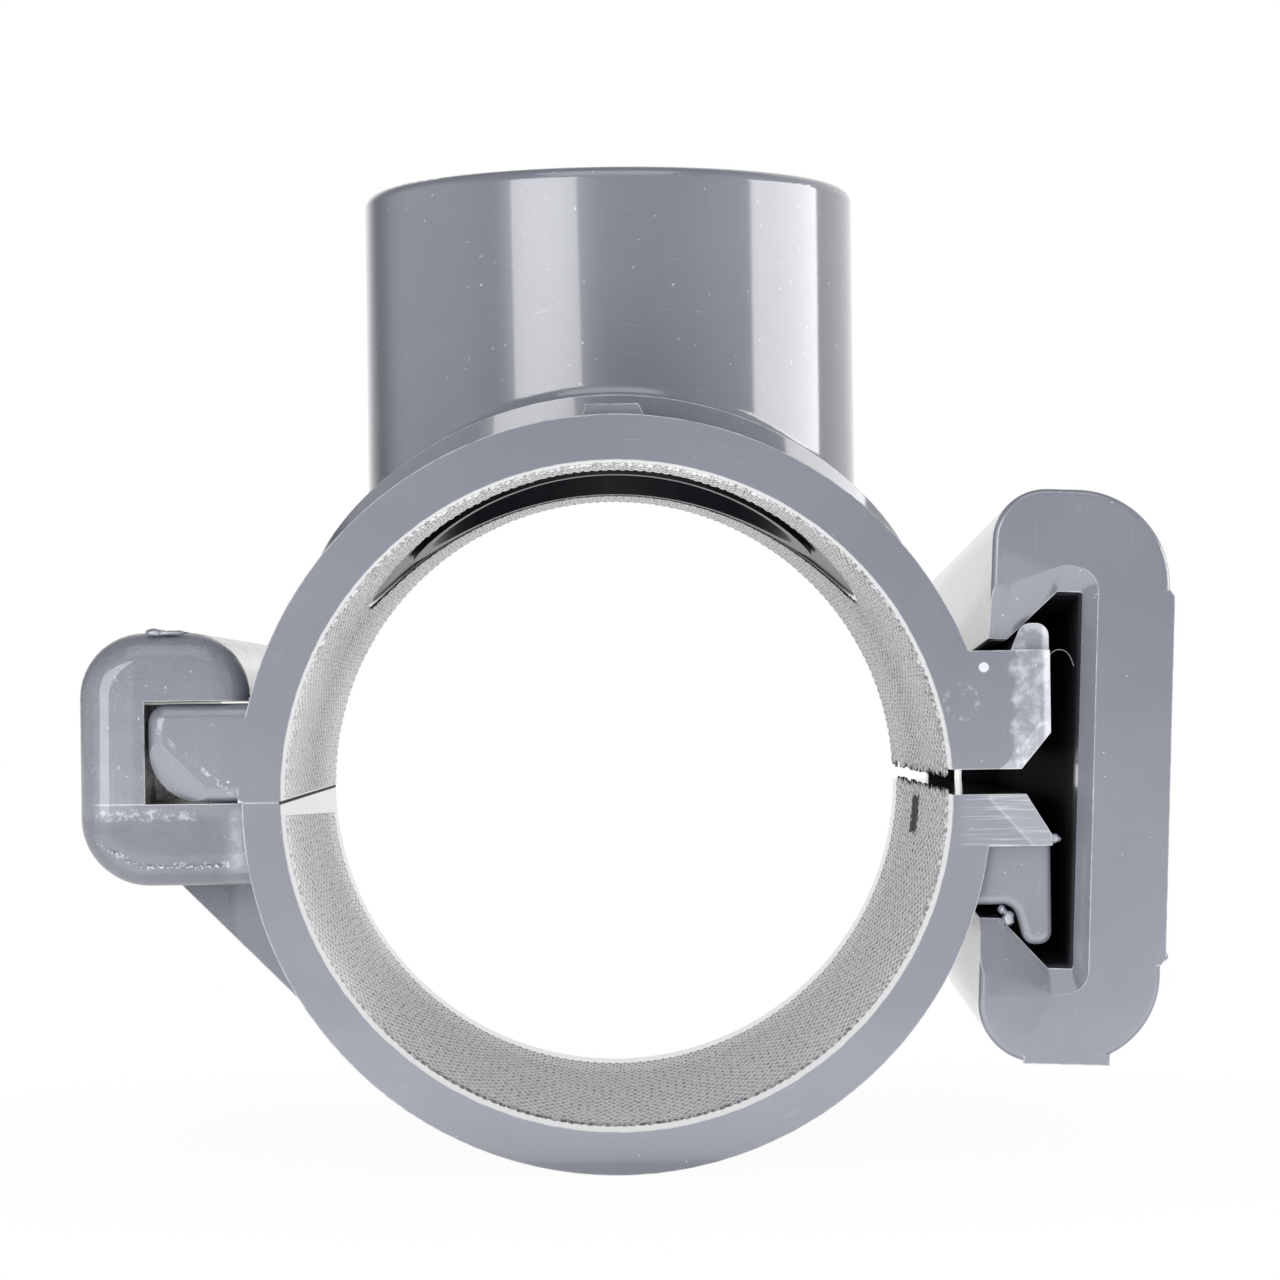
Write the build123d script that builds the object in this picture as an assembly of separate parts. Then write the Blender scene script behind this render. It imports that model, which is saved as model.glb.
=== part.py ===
from build123d import *
import math
import os

# Pipe saddle clamp in grey plastic: an upper half with a branch socket hooks onto a lower half,
# and a tapered wedge draws their flanges together on the other side.
# Millimetres. The origin is on the bore axis at mid length, +Z runs up the branch, +Y along the bore
# away from the open end of the wedge, and +X points to the wedge.

# Saddle
BORE_RADIUS = 31.68
SADDLE_LENGTH = 80.0
SIDE_WALL = 3.65
EXTRA_WALL_BELOW = 0.45
UPPER_SIDE_WALL = 4.05
EXTRA_WALL_ABOVE = 0.3
PARTING_RISE = 2.05
PARTING_DROP = 0.3
HINGE_PARTING_DROP = 0.25

# Branch socket
BRANCH_RADIUS = 25.2
BRANCH_TOP = 61.4
RIM_ROUND = 1.25
SOCKET_RADIUS = 20.1
SOCKET_DEPTH = 26.0
SOCKET_CHAMFER = 1.2
OUTLET_RADIUS = 18.65

# Round pad that stiffens the saddle under the branch
PAD_RADIUS = 30.5
PAD_HEIGHT = 2.8
PAD_FILLET = 1.6
GATE_WIDTH = 5.0
GATE_HEIGHT = 1.0
GATE_SETBACK = 0.6

# Seal in its seat round the outlet
SEAL_SEAT_RADIUS = 25.05
SEAL_SEAT_DEPTH = 2.3
SEAL_FIT = 0.1
SEAL_FLANGE = 1.9
SEAL_BEAD_WIDTH = 1.9
SEAL_BEAD_PROUD = 0.28

# Hook hinge: claw on the lower half, tongue on the upper half
CLAW_LEFT = 50.9
CLAW_ARM = 6.4
CLAW_TOP = 6.55
CLAW_CORNER = 6.2
CLAW_TIP_RADIUS = 6.0
CLAW_TIP_ROUND = 0.5
CLAW_END_ROUND = 3.2
CLAW_SETBACK = 0.35
BLOCK_DEPTH = 8.05
BLOCK_CORNER = 6.5
TONGUE_HEIGHT = 9.2
TONGUE_TOP_ROUND = 1.9
TONGUE_ROLL = 5.4
TONGUE_EDGE_ROUND = 1.6
TONGUE_BEVEL_RUN = 6.8
TONGUE_BEVEL_ANGLE = 28.0
HINGE_SIDE_GAP = 0.2
HINGE_TOP_GAP = 0.25
HINGE_RING_GAP = 0.2
HINGE_RELIEF_ANGLE = 2.7
GUSSET_LENGTH = 60.0

# Wedge flanges
FLANGE_REACH = 41.0
FLANGE_CORNER = 2.8
FLANGE_CORNER_RISE = 3.4
UPPER_NOTCH = 13.25
LOWER_NOTCH = 10.9
LOWER_LIP = 5.2
LOWER_LIP_SLANT = 2.4
BARB_HEIGHT = 2.6
LOWER_BARB_HEIGHT = 3.8
BARB_WIDTH = 3.6
BARB_SLOPE = 1.05
BARB_ROUND = 1.2
LOWER_ROOT_ROUND = 1.4
BARB_SETBACK = 1.0
HOOK_EDGE_ROUND = 0.9
TAPER_DROP = 4.3

# Wedge
WEDGE_HALF_HEIGHT = 27.1
WEDGE_BACK = 8.1
WEDGE_PANEL = 0.45
WEDGE_PANEL_TOP = 17.6
WEDGE_PANEL_BOTTOM = 16.6
WEDGE_PANEL_SLOPE = 0.6
WEDGE_REACH = 9.0
WEDGE_TOP_LEAN = 0.3
WEDGE_RISE = 0.4
WEDGE_RING_GAP = 0.4
WEDGE_LIP_GAP = 13.3
WEDGE_CHANNEL = 17.9
WEDGE_CHANNEL_TOP = 2.4
WEDGE_FAR_CORNER = 8.9
WEDGE_NEAR_CORNER = 5.0
WEDGE_FAR_FOOT = 8.4
WEDGE_NEAR_FOOT = 5.6
WEDGE_END = 3.0
WEDGE_END_GAP = 0.5
WEDGE_TILT = 2.2
WEDGE_BACK_GAP = 2.65
WEDGE_LIFT = 0.85
WEDGE_EDGE_ROUND = 0.6
WEDGE_STRIP = 0.08
WEDGE_STRIP_DEPTH = 1.05
WEDGE_STRIP_REACH = (-4.6, 3.5)
MOUTH_BEVEL = 1.3
MOUTH_RISE = 1.8
MOUTH_DEPTH = 1.6
MOUTH_LIP_CUT = 5.2
MOUTH_ROUND = 2.2
CHANNEL_ROUND = 0.25
END_SLOT = 0.8
END_SLOT_INSET = 4.5

# What follows from them
HALF_LENGTH = SADDLE_LENGTH / 2
LOWER_OUTER = BORE_RADIUS + SIDE_WALL
UPPER_OUTER = BORE_RADIUS + UPPER_SIDE_WALL
TAPER = TAPER_DROP / SADDLE_LENGTH
CLAW_INNER = CLAW_LEFT - CLAW_ARM
CLAW_UNDERSIDE = TONGUE_HEIGHT + HINGE_TOP_GAP
TONGUE_END = CLAW_INNER - HINGE_SIDE_GAP
FAR = 4 * CLAW_LEFT

# The flanges start inside the bore, which is cut after them
FLANGE_ROOT = BORE_RADIUS - SIDE_WALL


def circle_edge(radius, centre_z, z):
    """Distance from the middle plane to a circle at height z."""
    return math.sqrt(radius**2 - (z - centre_z) ** 2)


CLAW_TIP = circle_edge(UPPER_OUTER, EXTRA_WALL_ABOVE, CLAW_UNDERSIDE) + HINGE_RING_GAP
HINGE_X = -(CLAW_TIP + CLAW_TIP_ROUND)
HINGE_Z = CLAW_UNDERSIDE + CLAW_TIP_ROUND


def outline(points, rounds=()):
    """Closed outline in X and Z, with a radius at each corner named in rounds by its number."""
    face = make_face(Polyline(*points, close=True))
    for number, radius in rounds:
        x, z = points[number]
        corner = face.vertices().sort_by_distance((x, z, 0))[0]
        face = fillet(corner, radius)
    return face


def along_bore(face, length=SADDLE_LENGTH):
    """Prism of an X and Z outline, centred on the middle of the saddle."""
    return extrude(Plane.XZ * face, amount=length / 2, both=True)


def tapered(face, drop, length=SADDLE_LENGTH):
    """Prism of an X and Z outline that starts at the front face and falls by drop over the saddle."""
    start = Plane(origin=(0, -HALF_LENGTH, 0), x_dir=(1, 0, 0), z_dir=(0, -1, 0))
    fall = drop * length / SADDLE_LENGTH
    heading = Vector(0, length, -fall)
    return extrude(start * face, amount=heading.length, dir=heading)


def bore_cylinder(radius, centre_z=0.0, length=SADDLE_LENGTH):
    return Pos(0, 0, centre_z) * Rot(90, 0, 0) * Cylinder(radius, length)


def block(x, y, z):
    """Box from its limits along each axis."""
    size = (x[1] - x[0], y[1] - y[0], z[1] - z[0])
    middle = ((x[0] + x[1]) / 2, (y[0] + y[1]) / 2, (z[0] + z[1]) / 2)
    return Pos(*middle) * Box(*size)


def tongue():
    """Tongue of the hook hinge, with a rolled lower corner and a bevel at each end."""
    root = -BORE_RADIUS - SIDE_WALL / 2
    points = [
        (root, -HINGE_PARTING_DROP),
        (-TONGUE_END, -HINGE_PARTING_DROP),
        (-TONGUE_END, TONGUE_HEIGHT),
        (root, TONGUE_HEIGHT),
    ]
    body = along_bore(outline(points, [(1, TONGUE_ROLL), (2, TONGUE_TOP_ROUND)]))
    top_edges = [
        edge
        for edge in body.edges().filter_by(GeomType.LINE).filter_by(Axis.X)
        if edge.center().Z > TONGUE_HEIGHT - TONGUE_TOP_ROUND
    ]
    body = fillet(top_edges, TONGUE_EDGE_ROUND)
    for side in (-1, 1):
        body -= tongue_bevel(side)
    return body


def hinge_relief():
    """Cut under the tongue that leaves room for the floor of the claw when the saddle opens."""
    start = HINGE_X + CLAW_TIP_ROUND
    end = -TONGUE_END - 1
    rise = (start - end) * math.tan(math.radians(HINGE_RELIEF_ANGLE))
    floor = -HINGE_PARTING_DROP
    points = [(start, floor), (start, floor - 1), (end, floor - 1), (end, floor + rise)]
    return along_bore(outline(points), 2 * SADDLE_LENGTH)


def tongue_bevel(side):
    """Half space that bevels the low corner of one end of the tongue."""
    corner = (-TONGUE_END - 1, -1)
    reach = TONGUE_BEVEL_RUN + 2
    back = reach * math.tan(math.radians(TONGUE_BEVEL_ANGLE)) / math.sqrt(2)
    tip = (corner[0], side * (HALF_LENGTH - back), corner[1])
    right = (corner[0] + reach, side * HALF_LENGTH, corner[1])
    above = (corner[0], side * HALF_LENGTH, corner[1] + reach)
    across = Vector(*right) - Vector(*tip)
    upward = Vector(*above) - Vector(*tip)
    normal = across.cross(upward).normalized()
    if normal.Y * side < 0:
        normal = normal * -1
    cut = Plane(origin=tip, x_dir=across.normalized(), z_dir=normal)
    return cut * Pos(0, 0, CLAW_LEFT / 2) * Box(CLAW_LEFT, CLAW_LEFT, CLAW_LEFT)


def claw():
    """Claw that hooks over the tongue, and the block it grows from, rounded at both ends."""
    floor = -HINGE_PARTING_DROP
    arm = claw_end_rounded(claw_outline(floor, CLAW_UNDERSIDE + CLAW_TOP, -CLAW_TIP))
    inside = -BORE_RADIUS - SIDE_WALL / 2
    base = claw_end_rounded(claw_outline(-BLOCK_DEPTH, floor, inside))
    return arm - along_bore(slot_outline(), 2 * SADDLE_LENGTH) + base


def claw_outline(low, high, right):
    """Upright part of the claw from low to high: rounded at the top, or at the foot of its block."""
    points = [(-CLAW_LEFT, low), (-CLAW_LEFT, high), (right, high), (right, low)]
    if high > 0:
        return outline(points, [(1, CLAW_CORNER), (2, CLAW_TIP_RADIUS)])
    return outline(points, [(0, BLOCK_CORNER)])


def claw_end_rounded(face):
    """Prism of part of the claw, with the outer edges of both its end faces rounded."""
    body = along_bore(face, SADDLE_LENGTH - 2 * CLAW_SETBACK)
    ends = [
        edge
        for edge in body.edges()
        if edge.bounding_box().size.Y < 0.01 and is_outer_claw_edge(edge)
    ]
    return fillet(ends, CLAW_END_ROUND)


def is_outer_claw_edge(edge):
    """True for the left side of the claw's end faces. What runs on from it is rounded with it."""
    return abs(edge.center().X + CLAW_LEFT) < 0.01


def slot_outline():
    """Room for the tongue inside the claw. Its edge wraps the rounded tip, about the hinge axis."""
    reach = CLAW_TIP_ROUND
    quarter = math.sqrt(0.5) * reach
    ceiling = Line((-CLAW_INNER, CLAW_UNDERSIDE), (HINGE_X, CLAW_UNDERSIDE))
    tip = ThreePointArc(
        (HINGE_X, CLAW_UNDERSIDE),
        (HINGE_X + quarter, HINGE_Z - quarter),
        (HINGE_X + reach, HINGE_Z),
    )
    rest = Polyline(
        (HINGE_X + reach, HINGE_Z),
        (0, HINGE_Z),
        (0, -HINGE_PARTING_DROP - 1),
        (-CLAW_INNER, -HINGE_PARTING_DROP - 1),
        (-CLAW_INNER, CLAW_UNDERSIDE),
    )
    return make_face([ceiling, tip, rest])


def gusset():
    """Web under the claw block that meets the lower half at a tangent, 45 degrees down."""
    slope = LOWER_OUTER * math.sqrt(2) + EXTRA_WALL_BELOW
    touch = LOWER_OUTER / math.sqrt(2)
    start = -BLOCK_DEPTH + 1
    points = [
        (-slope - start, start),
        (-touch, -touch - EXTRA_WALL_BELOW),
        (-BORE_RADIUS * 0.75, -BORE_RADIUS * 0.75),
        (-BORE_RADIUS - 1, start),
    ]
    return along_bore(outline(points), GUSSET_LENGTH)


def barb_outline(notch, height, root_round=0.0):
    """Flange outline above its notch, with the barb at its far edge. It runs on below the parting."""
    tip = notch + height
    points = [
        (FLANGE_ROOT, -notch),
        (FLANGE_ROOT, notch),
        (FLANGE_REACH - BARB_WIDTH, notch),
        (FLANGE_REACH - BARB_WIDTH + BARB_SLOPE, tip),
        (FLANGE_REACH, tip),
        (FLANGE_REACH, -notch),
    ]
    rounds = [(3, BARB_ROUND), (4, BARB_ROUND)]
    if root_round > 0:
        rounds.append((2, root_round))
    return outline(points, rounds)


def set_back(body, low):
    """Takes the part of a flange above low back from both end faces."""
    for side in (-1, 1):
        ends = sorted((side * (HALF_LENGTH - BARB_SETBACK), side * (HALF_LENGTH + 5)))
        body -= block((BORE_RADIUS, FAR), ends, (low, FAR))
    return body


def upper_flange():
    """Flange of the upper half, whose notch and barb fall with the taper."""
    body = tapered(barb_outline(UPPER_NOTCH, BARB_HEIGHT), TAPER_DROP)
    body = set_back(body, UPPER_NOTCH)
    room = [
        (FLANGE_ROOT, PARTING_RISE),
        (FLANGE_REACH - FLANGE_CORNER, PARTING_RISE),
        (FLANGE_REACH, PARTING_RISE + FLANGE_CORNER_RISE),
        (FLANGE_REACH, FAR),
        (FLANGE_ROOT, FAR),
    ]
    return body & along_bore(outline(room))


def lower_flange():
    """Flange of the lower half, modelled upright and turned over."""
    face = barb_outline(LOWER_NOTCH, LOWER_BARB_HEIGHT, LOWER_ROOT_ROUND)
    barb = tapered(face, TAPER_DROP)
    barb = set_back(barb, LOWER_LIP)
    room = [
        (FLANGE_ROOT, PARTING_DROP),
        (FLANGE_REACH - LOWER_LIP_SLANT, PARTING_DROP),
        (FLANGE_REACH, LOWER_LIP - 1),
        (FLANGE_REACH, FAR),
        (FLANGE_ROOT, FAR),
    ]
    body = barb & along_bore(outline(room))
    body = fillet([edge for edge in body.edges() if is_hook_edge(edge)], HOOK_EDGE_ROUND)
    return mirror(body, Plane.XY)


def is_hook_edge(edge):
    """True for the edges round the set back ends of the lower hook."""
    middle = edge.center()
    on_end = abs(abs(middle.Y) - HALF_LENGTH + BARB_SETBACK) < 0.01
    flat = edge.bounding_box().size.Y < 0.01
    return on_end and flat and middle.Z > LOWER_LIP + 0.1 and middle.X > BORE_RADIUS + SIDE_WALL


def branch():
    """Round pad, branch tube and the fillet between them, before the bores."""
    pad = Pos(0, 0, PAD_RADIUS) * Cylinder(PAD_RADIUS, 2 * PAD_RADIUS)
    pad &= bore_cylinder(UPPER_OUTER + PAD_HEIGHT)
    tube = Pos(0, 0, BRANCH_TOP / 2) * Cylinder(BRANCH_RADIUS, BRANCH_TOP)
    rim = tube.edges().sort_by(Axis.Z)[-1]
    body = pad + fillet(rim, RIM_ROUND)
    root = [
        edge
        for edge in body.edges().filter_by(GeomType.LINE, reverse=True)
        if is_branch_root(edge)
    ]
    return fillet(root, PAD_FILLET)


def is_branch_root(edge):
    """True for the curve where the branch leaves its pad."""
    point = edge @ 0.25
    off_axis = math.hypot(point.X, point.Y)
    between = BORE_RADIUS / 2 < point.Z < UPPER_OUTER + PAD_HEIGHT + 1
    return abs(off_axis - BRANCH_RADIUS) < 0.01 and between


def gate():
    """Sheared gate between the front of the saddle and the pad, on the crown."""
    crown = UPPER_OUTER + EXTRA_WALL_ABOVE
    half = GATE_WIDTH / 2
    points = [
        (-half - GATE_HEIGHT / 2, crown - 1),
        (-half, crown + GATE_HEIGHT),
        (half, crown + GATE_HEIGHT),
        (half + GATE_HEIGHT, crown - 1),
    ]
    front = GATE_SETBACK - HALF_LENGTH
    face = Plane(origin=(0, front, 0), x_dir=(1, 0, 0), z_dir=(0, -1, 0)) * outline(points)
    return extrude(face, amount=HALF_LENGTH - PAD_RADIUS + 2, dir=(0, 1, 0))


def upper_half():
    """Saddle half that carries the branch socket, the tongue and one flange."""
    shell = bore_cylinder(UPPER_OUTER, EXTRA_WALL_ABOVE)
    ends = (-SADDLE_LENGTH, SADDLE_LENGTH)
    shell -= block((-FAR, 0), ends, (-FAR, -HINGE_PARTING_DROP))
    shell -= block((0, FAR), ends, (-FAR, PARTING_RISE))
    body = shell + branch() + gate() + tongue() + upper_flange() - hinge_relief()
    body -= bore_cylinder(BORE_RADIUS, length=2 * SADDLE_LENGTH)
    socket = Cylinder(SOCKET_RADIUS, SOCKET_DEPTH)
    body -= Pos(0, 0, BRANCH_TOP - SOCKET_DEPTH / 2) * socket
    mouth = Cone(SOCKET_RADIUS, SOCKET_RADIUS + 2 * SOCKET_CHAMFER, 2 * SOCKET_CHAMFER)
    body -= Pos(0, 0, BRANCH_TOP) * mouth
    body -= Pos(0, 0, BRANCH_TOP / 2) * Cylinder(OUTLET_RADIUS, BRANCH_TOP)
    return body - seal_seat()


def seal_seat():
    """Seat for the seal: a disc about the branch axis, bounded by a cylinder about the bore."""
    disc = Pos(0, 0, BORE_RADIUS) * Cylinder(SEAL_SEAT_RADIUS, 2 * BORE_RADIUS)
    return disc & bore_cylinder(BORE_RADIUS + SEAL_SEAT_DEPTH)


def seal_ring():
    """Rubber seal: a flange sunk below the bore, and a rounded bead round the outlet."""
    bead = OUTLET_RADIUS + SEAL_FIT + SEAL_BEAD_WIDTH
    back = bore_cylinder(BORE_RADIUS + SEAL_SEAT_DEPTH - SEAL_FIT)
    flange_face = bore_cylinder(BORE_RADIUS + SEAL_SEAT_DEPTH - SEAL_FIT - SEAL_FLANGE)
    bead_face = bore_cylinder(BORE_RADIUS - SEAL_BEAD_PROUD)
    height = 2 * BORE_RADIUS
    flange = Pos(0, 0, BORE_RADIUS) * Cylinder(SEAL_SEAT_RADIUS - SEAL_FIT, height)
    flange = (flange & back) - flange_face
    core = Pos(0, 0, BORE_RADIUS) * Cylinder(bead, height)
    core = (core & back) - bead_face
    core -= Pos(0, 0, BORE_RADIUS) * Cylinder(OUTLET_RADIUS + SEAL_FIT, height)
    flange -= Pos(0, 0, BORE_RADIUS) * Cylinder(bead - SEAL_BEAD_WIDTH / 2, height)
    return core + flange


def lower_half():
    """Saddle half that carries the claw, its gusset and the other flange."""
    shell = bore_cylinder(LOWER_OUTER, -EXTRA_WALL_BELOW)
    ends = (-SADDLE_LENGTH, SADDLE_LENGTH)
    shell -= block((-FAR, 0), ends, (-HINGE_PARTING_DROP, FAR))
    shell -= block((0, FAR), ends, (-PARTING_DROP, FAR))
    body = shell + claw() + gusset() + lower_flange()
    return body - bore_cylinder(BORE_RADIUS, length=2 * SADDLE_LENGTH)


def wedge_outline():
    """Outside of the wedge in its own plane, measured from the back of its channel."""
    top = WEDGE_RISE + WEDGE_HALF_HEIGHT
    foot = WEDGE_RISE - WEDGE_HALF_HEIGHT
    points = [
        (-WEDGE_REACH, foot),
        (-WEDGE_REACH + WEDGE_TOP_LEAN, top),
        (WEDGE_BACK, top),
        (WEDGE_BACK, foot),
    ]
    corners = [WEDGE_NEAR_FOOT, WEDGE_NEAR_CORNER, WEDGE_FAR_CORNER, WEDGE_FAR_FOOT]
    return outline(points, list(enumerate(corners)))


def is_wedge_rim(edge):
    """True for the edges round the outside of the wedge's front face, the channel left out."""
    middle = edge.center()
    in_front = abs(middle.Y + HALF_LENGTH) < 0.01 and edge.bounding_box().size.Y < 0.01
    end = abs(middle.Z) > WEDGE_CHANNEL + 2
    near = middle.X < WEDGE_TOP_LEAN - WEDGE_REACH
    return in_front and (end or near or middle.X > WEDGE_BACK / 2)


def channel_points(side):
    """Corners of half the channel, from its open side to its back."""
    lip = WEDGE_CHANNEL_TOP + WEDGE_CHANNEL - WEDGE_LIP_GAP
    return [
        (-2 * WEDGE_REACH, side * WEDGE_LIP_GAP),
        (-lip, side * WEDGE_LIP_GAP),
        (-WEDGE_CHANNEL_TOP, side * WEDGE_CHANNEL),
        (0, side * WEDGE_CHANNEL),
    ]


def mouth_points(side):
    """Corners of half the bevelled mouth, matched one by one to the channel's."""
    lip = WEDGE_CHANNEL_TOP + WEDGE_CHANNEL - WEDGE_LIP_GAP
    outer = WEDGE_CHANNEL + MOUTH_RISE
    return [
        (-2 * WEDGE_REACH, side * (WEDGE_LIP_GAP + MOUTH_LIP_CUT - 1)),
        (-lip, side * (WEDGE_LIP_GAP + MOUTH_LIP_CUT)),
        (-WEDGE_CHANNEL_TOP + MOUTH_BEVEL / 2, side * (outer + MOUTH_BEVEL / 2)),
        (MOUTH_BEVEL, side * outer),
    ]


def both_sides(half):
    """Closed loop of corners from a half outline given for each side."""
    return half(1) + list(reversed(half(-1)))


def half_tapered(face, side, length):
    """Half of a tapered body: the outline falls towards the middle plane as it goes back."""
    body = tapered(face, side * TAPER_DROP, length)
    limits = sorted((0, side * FAR))
    return body & block((-FAR, FAR), (-FAR, FAR), limits)


def channel_outline(half, corner):
    """Outline of the channel or of its mouth, with the corners at its back rounded."""
    rounds = [(2, corner), (3, corner), (4, corner), (5, corner)]
    return outline(both_sides(half), rounds)


def wedge_body(face, length):
    """Body whose upper and lower halves taper towards the middle plane."""
    return half_tapered(face, 1, length) + half_tapered(face, -1, length)


def panel_outline():
    """Raised panel on the back of the wedge, with sloped ends."""
    face = WEDGE_BACK + WEDGE_PANEL
    return outline([
        (WEDGE_BACK / 2, -WEDGE_PANEL_BOTTOM - WEDGE_PANEL_SLOPE),
        (WEDGE_BACK / 2, WEDGE_PANEL_TOP + WEDGE_PANEL_SLOPE),
        (WEDGE_BACK, WEDGE_PANEL_TOP + WEDGE_PANEL_SLOPE),
        (face, WEDGE_PANEL_TOP),
        (face, -WEDGE_PANEL_BOTTOM),
        (WEDGE_BACK, -WEDGE_PANEL_BOTTOM - WEDGE_PANEL_SLOPE),
    ])


def strip_outline():
    """Low strip along the bottom of the wedge, proud of it by a hair."""
    left, right = WEDGE_STRIP_REACH
    foot = WEDGE_RISE - WEDGE_HALF_HEIGHT - WEDGE_STRIP
    top = foot + WEDGE_STRIP_DEPTH
    return outline([(left, foot), (left, top), (right, top), (right, foot)])


def wedge():
    """Locking wedge: a tapered channel with inturned lips, closed at the end that is struck."""
    inside = SADDLE_LENGTH + WEDGE_END_GAP
    total = inside + WEDGE_END
    body = wedge_body(wedge_outline(), total)
    body -= wedge_body(channel_outline(channel_points, CHANNEL_ROUND), inside)
    body = fillet([edge for edge in body.edges() if is_wedge_rim(edge)], WEDGE_EDGE_ROUND)
    body += Pos(0, (total - SADDLE_LENGTH) / 2, 0) * along_bore(panel_outline(), total)
    body += half_tapered(strip_outline(), -1, total)
    mouth_face = Plane(origin=(0, -HALF_LENGTH, 0), x_dir=(1, 0, 0), z_dir=(0, -1, 0))
    depth_face = Plane(origin=(0, MOUTH_DEPTH - HALF_LENGTH, 0), x_dir=(1, 0, 0), z_dir=(0, -1, 0))
    wide = mouth_face * channel_outline(mouth_points, MOUTH_ROUND)
    narrow = depth_face * channel_outline(channel_points, CHANNEL_ROUND)
    body -= loft([wide, narrow], ruled=True)
    slot = (-END_SLOT_INSET - END_SLOT / 2, -END_SLOT_INSET + END_SLOT / 2)
    body -= block(slot, (0, FAR), (-WEDGE_LIP_GAP / 2, WEDGE_LIP_GAP / 2))
    placed = Pos(FLANGE_REACH + WEDGE_BACK_GAP, 0, WEDGE_LIFT) * Rot(0, WEDGE_TILT, 0) * body
    return placed - bore_cylinder(LOWER_OUTER + WEDGE_RING_GAP, -EXTRA_WALL_BELOW, 2 * total)


def main():
    os.makedirs("parts", exist_ok=True)
    pieces = {
        "upper_half": upper_half(),
        "lower_half": lower_half(),
        "locking_wedge": wedge(),
        "branch_seal": seal_ring(),
    }
    for name, piece in pieces.items():
        export_step(piece, f"parts/{name}.step")
    print(f"hinge axis at x {HINGE_X:.3f}, z {HINGE_Z:.3f}; taper {TAPER:.5f}")


main()
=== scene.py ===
import math

import bmesh
import bpy
from mathutils import Matrix, Vector, noise


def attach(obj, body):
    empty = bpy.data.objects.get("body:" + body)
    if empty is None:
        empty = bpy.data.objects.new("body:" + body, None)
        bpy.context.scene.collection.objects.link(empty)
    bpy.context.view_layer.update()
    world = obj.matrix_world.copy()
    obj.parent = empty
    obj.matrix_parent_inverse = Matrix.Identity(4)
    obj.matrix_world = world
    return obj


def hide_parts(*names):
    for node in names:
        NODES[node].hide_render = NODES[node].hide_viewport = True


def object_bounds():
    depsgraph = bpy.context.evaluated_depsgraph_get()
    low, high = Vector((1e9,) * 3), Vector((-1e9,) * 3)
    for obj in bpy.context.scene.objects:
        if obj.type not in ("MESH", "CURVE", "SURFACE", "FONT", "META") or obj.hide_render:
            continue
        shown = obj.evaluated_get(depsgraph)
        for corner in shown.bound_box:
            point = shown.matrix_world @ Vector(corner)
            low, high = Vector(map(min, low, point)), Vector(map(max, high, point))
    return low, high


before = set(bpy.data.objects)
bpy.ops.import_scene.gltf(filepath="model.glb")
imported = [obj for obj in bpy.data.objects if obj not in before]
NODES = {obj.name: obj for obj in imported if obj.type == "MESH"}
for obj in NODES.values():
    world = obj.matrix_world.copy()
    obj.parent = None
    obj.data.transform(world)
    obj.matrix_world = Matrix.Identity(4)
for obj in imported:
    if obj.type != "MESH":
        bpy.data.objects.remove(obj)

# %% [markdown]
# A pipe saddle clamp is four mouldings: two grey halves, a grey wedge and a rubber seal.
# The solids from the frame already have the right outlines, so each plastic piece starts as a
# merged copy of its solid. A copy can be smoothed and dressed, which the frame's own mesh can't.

MM = 0.001
CAD_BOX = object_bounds()
print("box of the solids in metres:", [list(corner) for corner in CAD_BOX])

# %% [markdown]
# Shader maths reads better as plain expressions. This small class wraps a socket, so that adding
# or multiplying two values adds the Math node for it. The soft steps that masks need are one node
# too, Map Range with smooth steps.


# %% A socket that does sums
class Value:
    """A number socket of a node tree, with the operators that the materials use."""

    def __init__(self, tree, socket):
        self.tree = tree
        self.socket = socket

    def sum(self, operation, first, second=0.0, third=0.0):
        inputs = {0: first, 1: second, 2: third}
        made = self.tree.node("ShaderNodeMath", {"operation": operation}, inputs)
        return Value(self.tree, made.outputs[0])

    def __add__(self, other):
        return self.sum("ADD", self, other)

    def __radd__(self, other):
        return self.sum("ADD", other, self)

    def __sub__(self, other):
        return self.sum("SUBTRACT", self, other)

    def __rsub__(self, other):
        return self.sum("SUBTRACT", other, self)

    def __mul__(self, other):
        return self.sum("MULTIPLY", self, other)

    def __rmul__(self, other):
        return self.sum("MULTIPLY", other, self)

    def __truediv__(self, other):
        return self.sum("DIVIDE", self, other)

    def at_least(self, other):
        return self.sum("MAXIMUM", self, other)

    def at_most(self, other):
        return self.sum("MINIMUM", self, other)

    def size(self):
        return self.sum("ABSOLUTE", self)

    def root(self):
        return self.sum("SQRT", self)

    def ramp(self, low, high, start=0.0, end=1.0):
        """Goes smoothly from start to end as the value goes from low to high."""
        settings = {"interpolation_type": "SMOOTHSTEP", "clamp": True}
        inputs = {"Value": self, "From Min": low, "From Max": high, "To Min": start, "To Max": end}
        made = self.tree.node("ShaderNodeMapRange", settings, inputs)
        return Value(self.tree, made.outputs["Result"])

    def between(self, low, high, soft):
        """1 from low to high, and softly 0 outside."""
        return self.ramp(low - soft, low) * self.ramp(high, high + soft, 1.0, 0.0)


# %% [markdown]
# Any other node comes from one method: it takes the node's kind, its settings and what goes into
# its sockets. A second method either links a socket or sets its value.


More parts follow.
